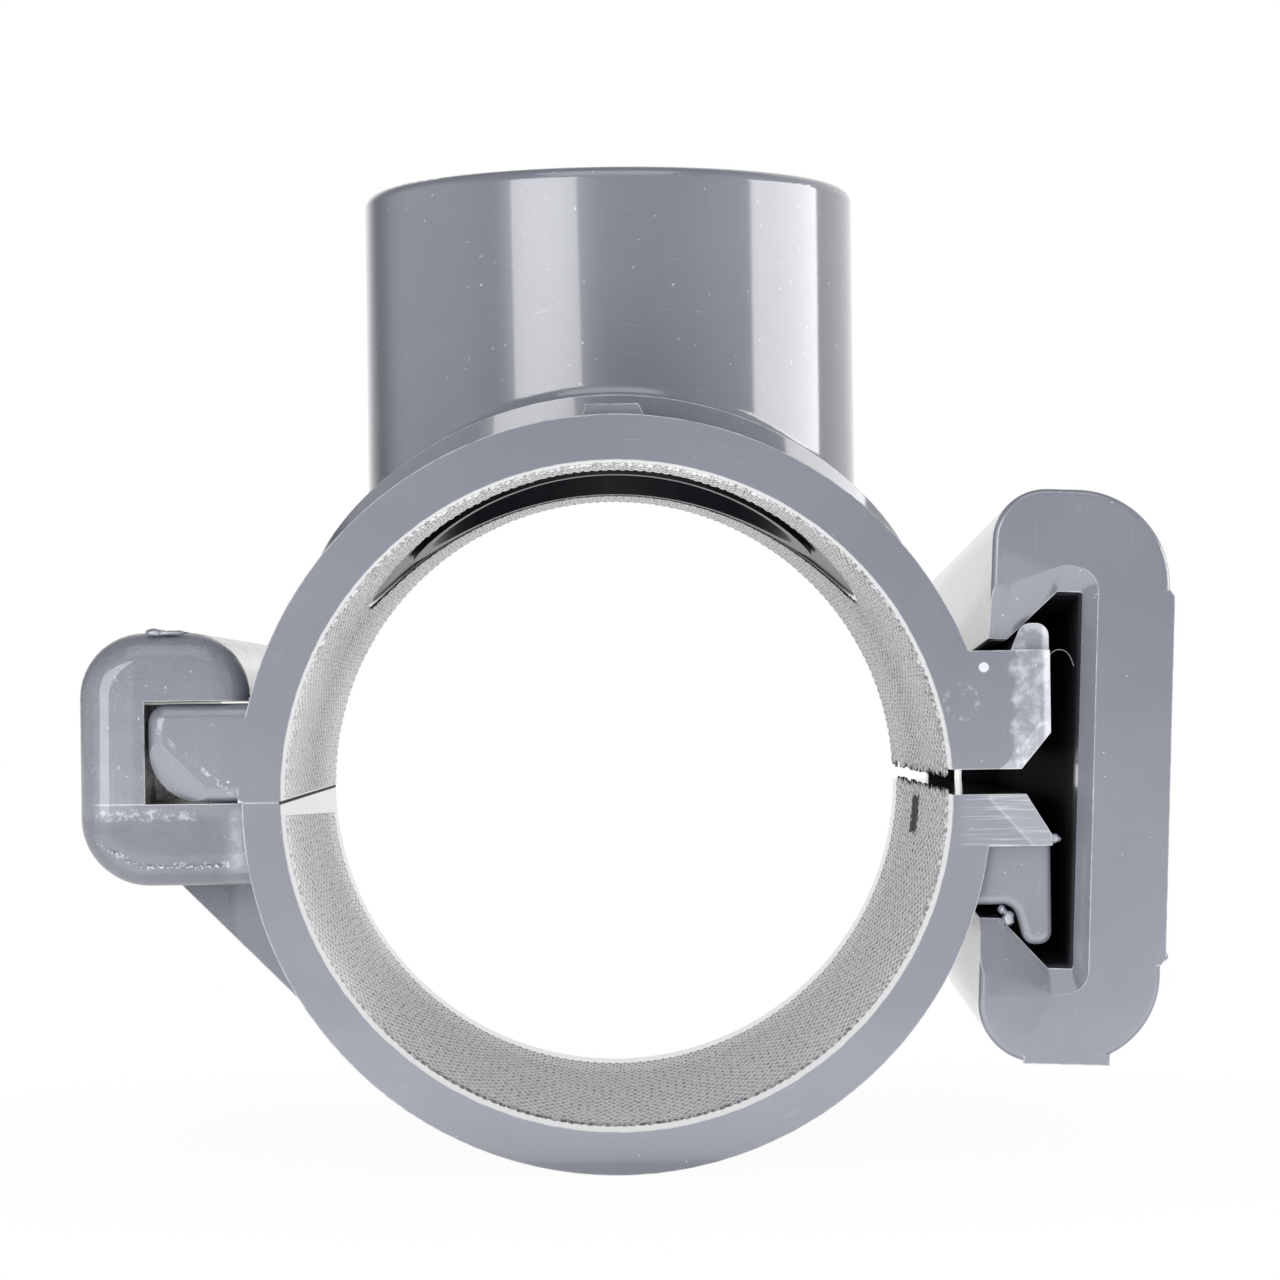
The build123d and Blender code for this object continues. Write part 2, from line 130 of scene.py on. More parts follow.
# %% A node tree with short calls
class Nodes:
    """A node tree with one method for any node and one for any socket."""

    def __init__(self, tree):
        self.nodes = tree.nodes
        self.links = tree.links

    def node(self, kind, settings=None, inputs=None):
        """Adds a node: its settings first, then the values or links of its sockets."""
        made = self.nodes.new(kind)
        for name, value in (settings or {}).items():
            setattr(made, name, value)
        for name, value in (inputs or {}).items():
            self.feed(made.inputs[name], value)
        return made

    def feed(self, socket, value):
        if isinstance(value, Value):
            value = value.socket
        if isinstance(value, bpy.types.NodeSocket):
            self.links.new(value, socket)
        else:
            socket.default_value = value

    def split(self, vector):
        made = self.node("ShaderNodeSeparateXYZ", None, {0: vector})
        return [Value(self, made.outputs[axis]) for axis in "XYZ"]


# %% [markdown]
# Every finish here is a Principled shader fed by noise. Noise needs a point to be looked up at.
# Object coordinates in millimetres suit the flat faces, and coordinates wound round the bore suit
# scratches and teeth that run round it. Arcs are measured in millimetres at ARC_RADIUS.

# %% A material that starts from the point on the object
ARC_RADIUS = 34.0


class Finish(Nodes):
    """A new node material with a Principled shader."""

    def __init__(self, name):
        self.material = bpy.data.materials.new(name)
        self.material.use_nodes = True
        super().__init__(self.material.node_tree)
        self.shader = self.nodes["Principled BSDF"]
        print("material", name)
        coordinates = self.node("ShaderNodeTexCoord")
        inputs = {0: coordinates.outputs["Object"], "Scale": 1 / MM}
        self.point = self.node("ShaderNodeVectorMath", {"operation": "SCALE"}, inputs).outputs[0]
        self.facing = coordinates.outputs["Normal"]

    def set(self, **sockets):
        """Sets or links shader sockets by name, with underscores for spaces."""
        for name, value in sockets.items():
            self.feed(self.shader.inputs[name.replace("_", " ")], value)

    def noise(self, scale, detail=3.0, roughness=0.5, stretch=None, point=None):
        """Noise with scale waves a millimetre, from 0 to 1."""
        point = point or self.point
        if stretch:
            inputs = {0: point, 1: stretch}
            point = self.node("ShaderNodeVectorMath", {"operation": "MULTIPLY"}, inputs).outputs[0]
        inputs = {"Vector": point, "Scale": scale, "Detail": detail, "Roughness": roughness}
        return Value(self, self.node("ShaderNodeTexNoise", None, inputs).outputs["Fac"])

    def round_the_bore(self):
        """The point as radius, arc and length about the bore axis, in millimetres."""
        x, y, z = self.split(self.point)
        radius = (x * x + z * z).root()
        arc = x.sum("ARCTAN2", x, z) * ARC_RADIUS
        made = self.node("ShaderNodeCombineXYZ", None, {0: radius, 1: arc, 2: y})
        return made.outputs[0]

    def mix(self, factor, first, second):
        """Blend of two colours."""
        made = self.node("ShaderNodeMix", {"data_type": "RGBA"}, {"Factor": factor})
        self.feed(made.inputs[6], first)
        self.feed(made.inputs[7], second)
        return made.outputs[2]

    def bump(self, height, normal=None):
        """Normal of a height in millimetres."""
        inputs = {"Strength": 1.0, "Distance": MM, "Height": height}
        if normal:
            inputs["Normal"] = normal
        return self.node("ShaderNodeBump", None, inputs).outputs[0]


# %% [markdown]
# The grey plastic is rigid PVC. Its sides come from a polished mould, so they show crisp bands of
# light whose edges waver a little. The end faces are duller, with fine scratches that run round
# the bore. Specks and dust lie everywhere. A Bevel node rounds the shading of sharp edges by a
# hair, which is what makes moulded edges catch the light. Where its normal differs from the true
# one there is an edge, and there the colour is made paler in patches: a painted highlight.
# Roughness is 0 for a mirror and 1 for chalk; the wedge is a little duller than the halves.

# %% Grey PVC
GLOSS = 0.09
WEDGE_GLOSS = 0.14
GREY = (0.175, 0.186, 0.218, 1.0)
DEEP_GREY = (0.158, 0.168, 0.198, 1.0)
PALE = (0.62, 0.63, 0.67, 1.0)
SHADE = (0.012, 0.013, 0.017, 1.0)
EDGE_ROUND = 0.19


def grey_plastic(name, marks=None, grain=None, gloss=GLOSS, dull=None):
    """Grey PVC. marks, grain and dull are functions from 0 to 1: pale scuffs, sand and painted shade.
    """
    finish = Finish(name)
    x, y, z = finish.split(finish.point)
    facing = finish.split(finish.facing)[1].size().ramp(0.8, 0.97)
    polar = finish.round_the_bore()
    cloud = finish.noise(0.06, 4.0)
    dusty = finish.noise(0.35, 1.0).ramp(0.4, 0.48)
    specks = finish.noise(1.9, 2.0, 0.6).ramp(0.72, 0.75) * dusty
    turned = finish.noise(1.0, 4.0, 0.7, (3.2, 0.16, 1.0), polar).ramp(0.62, 0.8)
    rounded = finish.node("ShaderNodeBevel", {"samples": 8}, {"Radius": EDGE_ROUND * MM})
    true_normal = finish.node("ShaderNodeNewGeometry").outputs["Normal"]
    inputs = {0: rounded.outputs[0], 1: true_normal}
    likeness = finish.node("ShaderNodeVectorMath", {"operation": "DOT_PRODUCT"}, inputs)
    edge = (1.0 - Value(finish, likeness.outputs["Value"])).ramp(0.008, 0.07)
    edge_highlight_breakup = finish.noise(0.7, 4.0, 0.6).ramp(0.3, 0.62, 0.25, 1.0)
    # pale holds real specks and scratches, plus a painted highlight along the sharp edges
    pale = specks * 0.75 + turned * facing * 0.32 + edge * edge_highlight_breakup * 0.8
    if marks:
        pale = pale + marks(finish, x, y, z) * facing
    pale = pale.at_most(1.0)
    sandy = grain(finish, x, y, z) if grain else facing * 0.0
    shade = dull(finish, x, y, z) if dull else facing * 0.0
    tone = finish.mix(cloud.ramp(0.3, 0.7), DEEP_GREY, GREY)
    # Painted shade: where dull says, the colour goes nearly black and the plastic gets rougher
    tone = finish.mix(shade, finish.mix(pale, tone, PALE), SHADE)
    rough = gloss + cloud * 0.04 + facing * 0.2 + sandy * 0.2 + pale * 0.2 + shade * 0.6
    finish.set(Base_Color=tone, Roughness=rough.at_most(0.9), IOR=1.54)
    finish.set(Coat_Weight=0.6 - shade * 0.6, Coat_Roughness=0.07, Coat_IOR=1.55)
    waver = finish.noise(0.9, 2.0, 0.6, (0.6, 0.6, 2.6)) * 0.008
    peel = finish.noise(0.22, 2.0) * 0.012 + waver
    sand = finish.noise(2.5, 4.0, 0.7) * sandy * 0.22
    finish.set(Normal=finish.bump(peel + sand - turned * facing * 0.002, rounded.outputs[0]))
    return finish.material


# %% [markdown]
# Each half has its own scuffs, and masks in the piece's own millimetres say where they lie. On the
# upper half, the right third of the flange is pale where the wedge rubbed it, with a lighter border
# along the barb. Crumbs lie along the bevel of the tongue.


# %% Scuffs on the upper half
def distance(x, z, to_x, to_z):
    """Distance in the front view from a point."""
    across = x - to_x
    up = z - to_z
    return (across * across + up * up).root()


def upper_marks(finish, x, y, z):
    # the rubbed third of the flange and its sawn corner
    cloud = finish.noise(0.5, 5.0, 0.7).ramp(0.43, 0.6)
    jag = (finish.noise(0.6, 3.0) - 0.5) * 3.0
    rubbed = (x + jag).between(38.0, 43.0, 0.7) * z.ramp(1.5, 2.5) * (0.13 + cloud * 0.34)
    beyond = (x + jag * 0.3 - 37.85) * 0.752 - (z - 1.95) * 0.66
    cut = beyond.ramp(-1.4, -1.2) * z.between(1.5, 6.2, 0.4)
    border = x.ramp(40.2, 40.6) * x.ramp(33.0, 34.0)
    # the bevel of the tongue
    crumbs = finish.noise(1.3, 4.0, 0.7).ramp(0.5, 0.6)
    strong = x.ramp(-39.6, -37.6, 0.35, 1.0)
    foot = (x * 0.867 + z).between(-31.05, -30.7, 0.22) * x.between(-43.2, -35.4, 0.4)
    foot = foot * crumbs * strong
    # a faint ring and the pale end of an ejector pin
    ring = (distance(x, z, 32.6, 8.4) - 1.5).size().ramp(0.1, 0.4, 1.0, 0.0)
    pin = distance(x, z, 34.75, 11.67).ramp(0.42, 0.52, 1.0, 0.0)
    spots = ring * crumbs * 0.25 + pin * 0.9
    return rubbed + cut * (0.16 + cloud * 0.2) + border * 0.5 + foot * 0.8 + spots


# %% [markdown]
# On the lower half, pale crumbs run along the foot of the claw's block and under its parting line.
# The flange ends in a slab that was sawn off, with fine lines along it and a lighter facet.

# %% Scuffs on the lower half
HINGE_PARTING = -0.25


def lower_marks(finish, x, y, z):
    # crumbs at the foot of the block and under the parting line
    crumbs = finish.noise(1.2, 4.0, 0.75).ramp(0.52, 0.62)
    rim = z - ((x + 49.5) * -0.55 - 3.66).at_least(-6.15)
    foot = rim.size().ramp(0.15, 0.6, 1.0, 0.0) * x.between(-49.8, -36.8, 0.4) * crumbs * 0.8
    seam = z.between(-1.6, -1.0, 0.5) * x.between(-49.0, -40.0, 0.8) * crumbs * 0.5
    # the parting line itself and the pale web beside the ring
    line = (z - HINGE_PARTING).size().ramp(0.03, 0.1, 1.0, 0.0) * x.ramp(-37.0, -36.0, 1.0, 0.0)
    web = (x + 35.9).size().ramp(0.2, 0.9, 1.0, 0.0) * z.between(-7.0, -1.2, 0.8)
    cloud = finish.noise(0.9, 5.0, 0.7).ramp(0.45, 0.6)
    # the sawn slab of the flange
    slab = x.ramp(31.8, 33.5) * z.between(-5.0, -0.5, 0.3)
    lines = finish.noise(1.0, 4.0, 0.6, (0.12, 1.0, 3.5)).ramp(0.5, 0.66)
    across = z + 0.96 + (x - 35.4) * 1.11
    facet = across.size().ramp(0.05, 0.3, 1.0, 0.0) * 0.22 + across.ramp(0.0, 0.2) * 0.1
    slab = slab * (0.04 + lines * 0.3 + facet * x.between(35.2, 41.0, 0.3))
    # a painted highlight down the middle of the claw's arm
    arm_highlight = x.between(-48.9, -45.9, 0.8) * z.between(-1.0, 12.0, 2.0) * 0.07
    return foot + seam + line * 0.5 + web * (0.1 + cloud * 0.15) + slab + arm_highlight


# %% [markdown]
# The claw has the sandy grain of a blasted mould, which breaks up its highlight.
# The tongue has a weaker one. The wedge is smooth, with a paler sawn foot and a few upright lines.


# %% Grain of the hinge and lines on the wedge
def claw_grain(finish, x, y, z):
    return x.ramp(-37.5, -35.5, 1.0, 0.0) * finish.noise(0.3, 3.0).ramp(0.3, 0.7, 0.4, 1.0)


def tongue_grain(finish, x, y, z):
    return claw_grain(finish, x, y, z) * 0.35


def wedge_marks(finish, x, y, z):
    lines = finish.noise(1.0, 3.0, 0.6, (2.6, 1.0, 0.1)).ramp(0.66, 0.76)
    return z.ramp(-26.6, -26.0, 1.0, 0.0) * 0.35 + lines * 0.12


# %% [markdown]
# Three places are nearly black in the photograph: the hairline between the halves where they meet
# in the bore beside the hinge, the wall of the seat round the seal, and the inside of the wedge,
# where no lamp reaches. The block under the claw is only a little darker than the plastic round it.

# %% Where the plastic lies in the dark
# Painted shade: each function below darkens the plastic's colour, nearly to black in the three places
# and a little on the block under the claw
SEAT_RADIUS = 25.2
WEDGE_FRONT = NODES["locking_wedge"].bound_box[0][1] / MM
WEDGE_END = NODES["locking_wedge"].bound_box[6][1] / MM
print("wedge from y", round(WEDGE_FRONT, 2), "to", round(WEDGE_END, 2))


def seam_shadow(finish, x, y, z):
    radius = finish.split(finish.round_the_bore())[0]
    line = (z - HINGE_PARTING).size().ramp(0.1, 0.22, 1.0, 0.0)
    return line * x.ramp(-31.0, -30.5, 1.0, 0.0) * radius.ramp(31.75, 31.95, 1.0, 0.0)


def claw_shadow(finish, x, y, z):
    block = x.ramp(-37.5, -36.5, 1.0, 0.0) * z.ramp(-2.0, -1.0, 1.0, 0.0)
    return seam_shadow(finish, x, y, z) + block * 0.2


def seat_shadow(finish, x, y, z):
    radius = finish.split(finish.round_the_bore())[0]
    reach = (x * x + y * y).root()
    seat = reach.ramp(SEAT_RADIUS, SEAT_RADIUS + 0.2, 1.0, 0.0) * z.ramp(15.0, 18.0)
    return seam_shadow(finish, x, y, z) + seat * radius.between(31.85, 34.5, 0.1) * 0.85


def channel_shadow(finish, x, y, z):
    inside = x.between(35.9, 44.3, 0.3) * z.size().ramp(18.4, 18.8, 1.0, 0.0)
    return inside * (y - WEDGE_FRONT).ramp(2.2, 6.0) * (WEDGE_END - y).ramp(2.7, 2.9)


# %% [markdown]
# The seal is black moulded rubber. Rubber is dull enough that the white background hardly shows
# in it, apart from its lip, so its gloss is held low.


# %% Black rubber
def black_rubber(name):
    finish = Finish(name)
    cloud = finish.noise(0.3, 3.0)
    finish.set(Base_Color=finish.mix(cloud, (0.006, 0.006, 0.009, 1), (0.02, 0.02, 0.026, 1)))
    finish.set(Roughness=0.3 + cloud * 0.12, Specular_IOR_Level=0.32)
    finish.set(Normal=finish.bump(finish.noise(0.5, 2.0) * 0.03))
    return finish.material


# %% [markdown]
# The copies are merged at their seams and shaded smooth, apart from the real corners. Weighted
# normals keep the broad flat faces flat next to their rounded edges.

# %% Smooth copies of the solids
SHARP = math.radians(24)


def new_piece(shape, name, body, material):
    """Makes an object of a finished bmesh, in its place, riding on a body of the frame."""
    mesh = bpy.data.meshes.new(name)
    shape.to_mesh(mesh)
    shape.free()
    mesh.materials.clear()
    mesh.materials.append(material)
    piece = bpy.data.objects.new(name, mesh)
    bpy.context.scene.collection.objects.link(piece)
    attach(piece, body)
    print(name, "has", len(mesh.polygons), "faces")
    return piece


def smooth_copy(node, name, body, material):
    """Copies a solid of the frame as one smooth mesh, which then takes the solid's place."""
    shape = bmesh.new()
    shape.from_mesh(NODES[node].data)
    bmesh.ops.remove_doubles(shape, verts=shape.verts, dist=0.002 * MM)
    for edge in shape.edges:
        edge.smooth = not edge.is_manifold or edge.calc_face_angle(0.0) < SHARP
    for face in shape.faces:
        face.smooth = True
        face.material_index = 0
    piece = new_piece(shape, name, body, material)
    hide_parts(node)
    weights = piece.modifiers.new("even shading", "WEIGHTED_NORMAL")
    weights.keep_sharp = True
    return piece


# %% [markdown]
# Now the four copies are made. Each takes the place of its solid from the frame and rides on the
# same body, so that it moves with the joints.

# %% The four mouldings
UPPER_GREY = grey_plastic("grey_upper", upper_marks, tongue_grain, GLOSS, seat_shadow)
LOWER_GREY = grey_plastic("grey_lower", lower_marks, claw_grain, GLOSS, claw_shadow)
WEDGE_GREY = grey_plastic("grey_wedge", wedge_marks, None, WEDGE_GLOSS, channel_shadow)
RUBBER = black_rubber("black_rubber")
smooth_copy("upper_half", "upper_saddle", "saddle", UPPER_GREY)
smooth_copy("lower_half", "lower_saddle", "strap", LOWER_GREY)
smooth_copy("locking_wedge", "wedge_channel", "wedge", WEDGE_GREY)
smooth_copy("branch_seal", "rubber_seal", "saddle", RUBBER)

# %% [markdown]
# The bore is knurled so that the pipe can't slip: rows of small teeth, 0.855 mm apart round the
# bore, each row shifted by half a tooth. Bump alone would look flat where the bore is seen almost
# edge on, so the teeth are real. This function gives their height at any place; beyond RIB_START
# they run together into ribs along the bore.

# %% Height of the teeth
TOOTH_PITCH = 0.855
ROW_PITCH = 1.9
RIB_START = 22.0


def tooth_height(arc, along):
    """Height of the teeth from 0 in a valley to 1 on a crest."""
    row = math.floor(along / ROW_PITCH)
    shift = 0.5 * (row % 2)
    sway = 0.25 * noise.noise(Vector((arc * 0.15, along * 0.12, 3.0)))
    across = abs(math.sin(math.pi * (arc / TOOTH_PITCH + shift + sway)))
    rows = abs(math.sin(math.pi * along / ROW_PITCH))
    cross = 1.0 if along > RIB_START else min(1.0, 0.25 + 1.1 * rows)
    rough = 0.22 * noise.noise(Vector((arc * 2.6, along * 1.3, 7.0)))
    return max(0.0, min(1.0, across**0.55 * cross + rough))


# %% [markdown]
# Near the wedge the saw tore the teeth, so the sheet ends there in shreds: slow waves with quick
# ones on top. Two more helpers look after the faces: which way they look, and smooth shading.


# %% Torn edge and two helpers for faces
def ragged(along, seed):
    """How far a torn edge reaches, from 0 to 1, as quick sharp shreds."""
    slow = noise.noise(Vector((along * 1.1, seed, 0.0)))
    quick = noise.noise(Vector((along * 4.3, seed, 5.0)))
    return max(0.0, min(1.0, 0.45 + slow + 0.8 * quick))


def outwardness(face):
    """Above 0 where a face looks away from the bore axis."""
    centre = face.calc_center_median()
    return face.normal.dot(Vector((centre.x, 0, centre.z)))


def smooth_faces(shape):
    for face in shape.faces:
        face.smooth = True


# %% [markdown]
# A sheet of teeth is a fine flat grid that is rolled up into the bore. Each of its points moves in
# or out by the height of the teeth there, and a skirt takes the rim of the sheet into the wall, so
# that no gap shows behind it.

# %% A sheet of teeth
CREST_RADIUS = 31.5
VALLEY_RADIUS = 31.665
BACK_RADIUS = 31.8
TOOTH_STEPS = 5
KNURL_FRONT = -33.8
KNURL_ROWS = 155


def knurl(name, start, end, back, lean, torn, keep, body, material):
    """Sheet of teeth between two angles, as far back as y = back, kept only where keep says.

    The end at the hinge leans by lean degrees over the length; the other end is torn.
    """
    arc_length = math.radians(end - start) * CREST_RADIUS
    shape = bmesh.new()
    arcs = int(arc_length / TOOTH_PITCH * TOOTH_STEPS)
    bmesh.ops.create_grid(shape, x_segments=arcs, y_segments=KNURL_ROWS, size=0.5)
    for vert in shape.verts:
        around = vert.co.x + 0.5
        share = vert.co.y + 0.5
        along = KNURL_FRONT + share * (back - KNURL_FRONT)
        arc = around * arc_length
        along += 0.7 * (1.0 - share) ** 12 * noise.noise(Vector((arc * 1.3, start, 0.0)))
        from_hinge = 1.0 - around if torn > 0 else around
        to_tear = (1.0 - around) * arc_length if torn > 0 else arc
        pull = max(0.0, 1.0 - to_tear / 1.5)
        angle = math.radians(start + lean * share * from_hinge)
        angle += (arc + torn * pull * ragged(along, start)) / CREST_RADIUS
        radius = VALLEY_RADIUS - tooth_height(arc, along) * (VALLEY_RADIUS - CREST_RADIUS)
        vert.co = Vector((math.cos(angle) * radius, along, math.sin(angle) * radius)) * MM
    if keep:
        lost = [face for face in shape.faces if not keep(face.calc_center_median() / MM)]
        bmesh.ops.delete(shape, geom=lost, context="FACES")
    rim = [edge for edge in shape.edges if edge.is_boundary]
    skirt = bmesh.ops.extrude_edge_only(shape, edges=rim)["geom"]
    for vert in (part for part in skirt if isinstance(part, bmesh.types.BMVert)):
        out = BACK_RADIUS * MM / math.hypot(vert.co.x, vert.co.z)
        vert.co = Vector((vert.co.x * out, vert.co.y, vert.co.z * out))
    bmesh.ops.recalc_face_normals(shape, faces=shape.faces)
    if sum(outwardness(face) for face in shape.faces) > 0:
        bmesh.ops.reverse_faces(shape, faces=shape.faces)
    smooth_faces(shape)
    return new_piece(shape, name, body, material)


# %% [markdown]
# The upper half's sheet leaves out the round seat of the seal, and a narrow rim round it.

# %% Where the seal lies
SEAT_RIM = 0.15


def clear_of_seal(point):
    """The seal lies in a round seat about the branch axis, and has no teeth."""
    return math.hypot(point.x, point.y) > SEAT_RADIUS + SEAT_RIM


# %% [markdown]
# In the photograph the crests of the teeth catch white light and the valleys are black. The teeth
# carry that themselves: the material is pale near the crest radius and dark below it. Each pair of
# tones here is for the dim bottom of the bore first and for its lit sides second.

# %% Tones of the teeth
# Painted light: the pale crest tones are partly dust and partly painted highlight, VALLEY_TONE is
# painted shade, each pair is a dim and a lit copy, and HINGE_SIDE_TONE is a lit patch
DUST_AND_SHEEN_TONES = ((0.36, 0.365, 0.39, 1), (1.0, 1.0, 1.0, 1))
CREST_TONES = ((0.08, 0.083, 0.095, 1), (0.4, 0.405, 0.43, 1))
HINGE_SIDE_TONE = (0.8, 0.8, 0.83, 1)
VALLEY_TONE = (0.012, 0.012, 0.015, 1)
BARE_TONE = (0.045, 0.048, 0.056, 1)


def knurl_grey(name, patch=None):
    """Painted highlight on the crests over painted shade in the valleys: the radius says which is
    which.
    """
    finish = Finish(name)
    radius, arc, length = finish.split(finish.round_the_bore())
    grit = finish.noise(2.4, 3.0, 0.7)
    x, y, z = finish.split(finish.point)
    # Painted light: the sides of the bore and a patch by the hinge get lit copies of the crest tones,
    # the bottom a dim copy
    lit_side = z.ramp(-31.0, -16.0) * x.ramp(5.0, 28.0, 1.0, 0.35)
    dusty = finish.mix(lit_side, *DUST_AND_SHEEN_TONES)
    clean_crest_shading = finish.mix(lit_side, *CREST_TONES)
    lit = x.ramp(-27.0, -22.0, 1.0, 0.0) * z.ramp(10.0, 16.0, 1.0, 0.0)
    clean_crest_shading = finish.mix(lit, clean_crest_shading, HINGE_SIDE_TONE)
    crest = finish.mix(grit.ramp(0.42, 0.58), clean_crest_shading, dusty)
    # Painted shade: below the crest radius the teeth go nearly black
    valley_shade = radius.ramp(31.53, 31.59) * (length - KNURL_FRONT).ramp(0.4, 1.0) * (1.0 - lit * 0.4)
    tone = finish.mix(valley_shade, crest, VALLEY_TONE)
    bare = patch(finish, arc, length) if patch else valley_shade * 0.0
    tone = finish.mix(bare, tone, BARE_TONE)
    finish.set(Base_Color=tone, Roughness=0.16 + grit * 0.12 + bare * 0.6, IOR=1.54)
    finish.set(Normal=finish.bump(finish.noise(5.0, 2.0) * 0.012))
    return finish.material


def bare_patch(finish, arc, length):
    """The dark jagged patch near the mouth, where the teeth are torn off."""
    jag = (finish.noise(0.9, 3.0, 0.7) - 0.5) * 14.0
    sides = (length + jag).between(0.0, 8.5, 0.5)
    return (arc + jag * 0.15).between(55.0, 59.0, 0.2) * sides


# %% [markdown]
# The lower half's sheet starts a little way from the hinge, where the photograph shows a smooth
# strip that widens to the back, and has a bare patch near the mouth.

# %% Both sheets of teeth
KNURL_GREY = knurl_grey("grey_knurl")
WORN_KNURL_GREY = knurl_grey("grey_worn_knurl", bare_patch)
knurl(
    "upper_knurl", start=3.4, end=179.9, back=39.0, lean=0.0, torn=-0.7, keep=clear_of_seal,
    body="saddle", material=KNURL_GREY,
)
knurl(
    "lower_knurl", start=182.9, end=359.2, back=32.5, lean=2.7, torn=0.7, keep=None,
    body="strap", material=WORN_KNURL_GREY,
)

# %% [markdown]
# Moulding and sawing leave small things on the part: a shred of flash on top of the claw, lumps
# beside the flanges and pale crumbs along the hook. They are part of the look. Each lump is a small
# sphere pushed about by noise, and all that sit on one piece are one mesh.


# %% How a lump is made
def lump(shape, place, size, seed):
    """Adds a small sphere pushed about by noise; place and half sizes in millimetres."""
    verts = bmesh.ops.create_icosphere(shape, subdivisions=2, radius=1.0)["verts"]
    for vert in verts:
        swell = 1.0 + 0.5 * noise.noise(vert.co * 1.4 + Vector((seed * 3.7, seed, 0)))
        grown = [centre + half * part * swell for centre, half, part in zip(place, size, vert.co)]
        vert.co = Vector(grown) * MM


def crumbs(shape, start, end, count, spread, seed):
    """Small lumps strewn along a line on a front face."""
    for number in range(count):
        share = (number + 0.5) / count
        across = noise.noise(Vector((number * 1.7, seed, 0)))
        up = noise.noise(Vector((seed, number * 2.3, 4)))
        size = 0.07 + 0.09 * abs(noise.noise(Vector((number * 3.1, seed, 9)))) * 2
        place = Vector(start).lerp(Vector(end), share) + Vector((across, 0, up)) * spread
        lump(shape, place, (size * 1.2, 0.05, size), number + seed)


# %% [markdown]
# The small things sit on the front faces, whose places come from the frame. Their plastic is the
# same grey, only paler all over, because torn plastic scatters more light.

# %% Front faces and torn plastic
LOWER_FRONT = NODES["lower_half"].bound_box[0][1] / MM
UPPER_FRONT = NODES["upper_half"].bound_box[0][1] / MM
CLAW_FRONT = LOWER_FRONT + 0.35
PALE_GREY = grey_plastic("grey_crumbs", lambda finish, x, y, z: x * 0.0 + 0.35)
print("front faces at y", round(UPPER_FRONT, 2), "and", round(LOWER_FRONT, 2))

# %% [markdown]
# The lower half has the tip left by sawing its slab, two lumps in the hook, the crumbs along the
# foot of the claw and the flash on its top. The wedge has one bump where its side panel ends.

# %% Lumps, crumbs and flash
shape = bmesh.new()
lump(shape, (41.2, LOWER_FRONT + 0.75, -4.6), (0.6, 0.5, 0.5), 3)
lump(shape, (36.9, LOWER_FRONT + 1.6, -12.1), (0.6, 0.6, 0.75), 4)
lump(shape, (36.3, LOWER_FRONT + 1.5, -11.3), (0.45, 0.5, 0.4), 5)
crumbs(shape, (-49.2, CLAW_FRONT, -3.9), (-45.1, CLAW_FRONT, -6.1), 12, 0.35, 21)
crumbs(shape, (-45.1, CLAW_FRONT, -6.15), (-37.0, CLAW_FRONT, -6.2), 30, 0.3, 25)
lump(shape, (-43.5, CLAW_FRONT + 1.5, 16.0), (0.9, 0.5, 0.42), 7)
lump(shape, (-42.1, CLAW_FRONT + 1.6, 15.95), (1.5, 0.5, 0.24), 8)
smooth_faces(shape)
new_piece(shape, "lower_crumbs", "strap", PALE_GREY)

shape = bmesh.new()
lump(shape, (51.5, WEDGE_FRONT + 0.7, -15.75), (0.35, 0.4, 0.5), 14)
smooth_faces(shape)
new_piece(shape, "wedge_nub", "wedge", WEDGE_GREY)

# %% [markdown]
# The hair is a curve with a round section. Its mesh is taken from the curve, and then the curve is
# thrown away.

# %% Hair on the upper flange
HAIR = ((40.8, 12.1), (41.1, 13.1), (42.1, 13.5), (43.0, 12.9), (43.3, 11.7))
HAIR_RADIUS = 0.035
path = bpy.data.curves.new("hair_path", "CURVE")
path.dimensions = "3D"
path.bevel_depth = HAIR_RADIUS * MM
path.bevel_resolution = 1
path.use_fill_caps = True
strand = path.splines.new("NURBS")
strand.points.add(len(HAIR) - 1)
strand.use_endpoint_u = True
for point, (x, z) in zip(strand.points, HAIR):
    point.co = (x * MM, (UPPER_FRONT + 0.8) * MM, z * MM, 1.0)
carrier = bpy.data.objects.new("hair_path", path)
shape = bmesh.new()
shape.from_mesh(carrier.to_mesh())
bpy.data.objects.remove(carrier)
bpy.data.curves.remove(path)
bmesh.ops.recalc_face_normals(shape, faces=shape.faces)
new_piece(shape, "plastic_hair", "saddle", PALE_GREY)

# %% [markdown]
# The photograph is a plain product shot on white. The floor and the far background are white for
# the camera and for reflections, and give the object little light of their own. The room behind
# the camera is dark in reflections, which keeps the plastic between the bands of light dark.

# %% World
WORLD_LIGHT = 0.36
DARK_ROOM = 0.12


